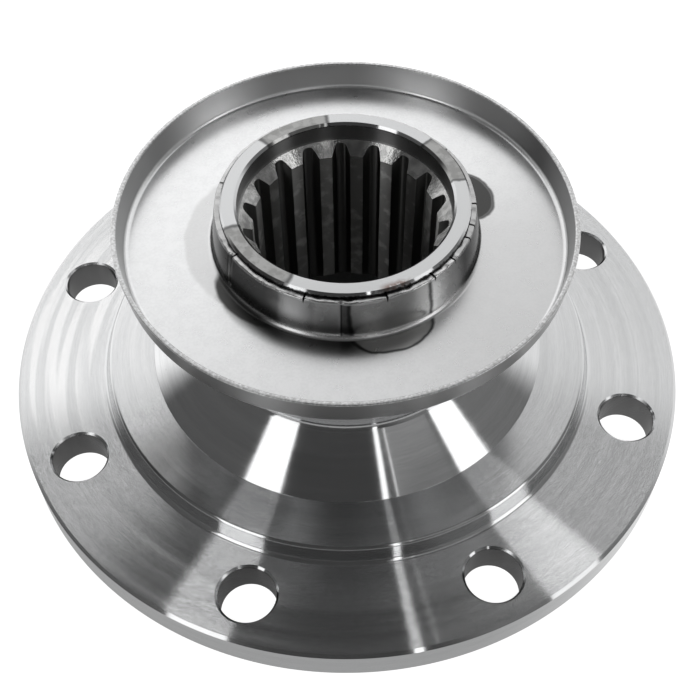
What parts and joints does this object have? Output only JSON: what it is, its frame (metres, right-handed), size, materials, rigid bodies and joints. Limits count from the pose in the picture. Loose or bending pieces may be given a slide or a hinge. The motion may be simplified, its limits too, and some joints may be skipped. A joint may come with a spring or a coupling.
{
  "type": "driveshaft flange",
  "caption": "Round steel driveshaft flange: bolt flange with a circle of holes, conical hub, splined bore and a pressed dust shield with an upturned rim.",
  "frame": {"origin": "centre of the bolting face, on the hub's axis", "axes": "+Z along the hub's axis from the bolting face to the nose; the first bolt hole is half a pitch from +X, and -Y faces the picture's viewer"},
  "size_m": [0.18, 0.18, 0.0683],
  "materials": {
    "turned_steel": "bright turned steel with fine concentric tool marks, darker in the splined bore",
    "pressed_sheet": "satin zinc-bright sheet steel with a polished collar and dark oil tint round it"
  },
  "bodies": {
    "root": {"flange": "turned_steel", "dust_shield": "pressed_sheet"}
  },
  "joints": []
}
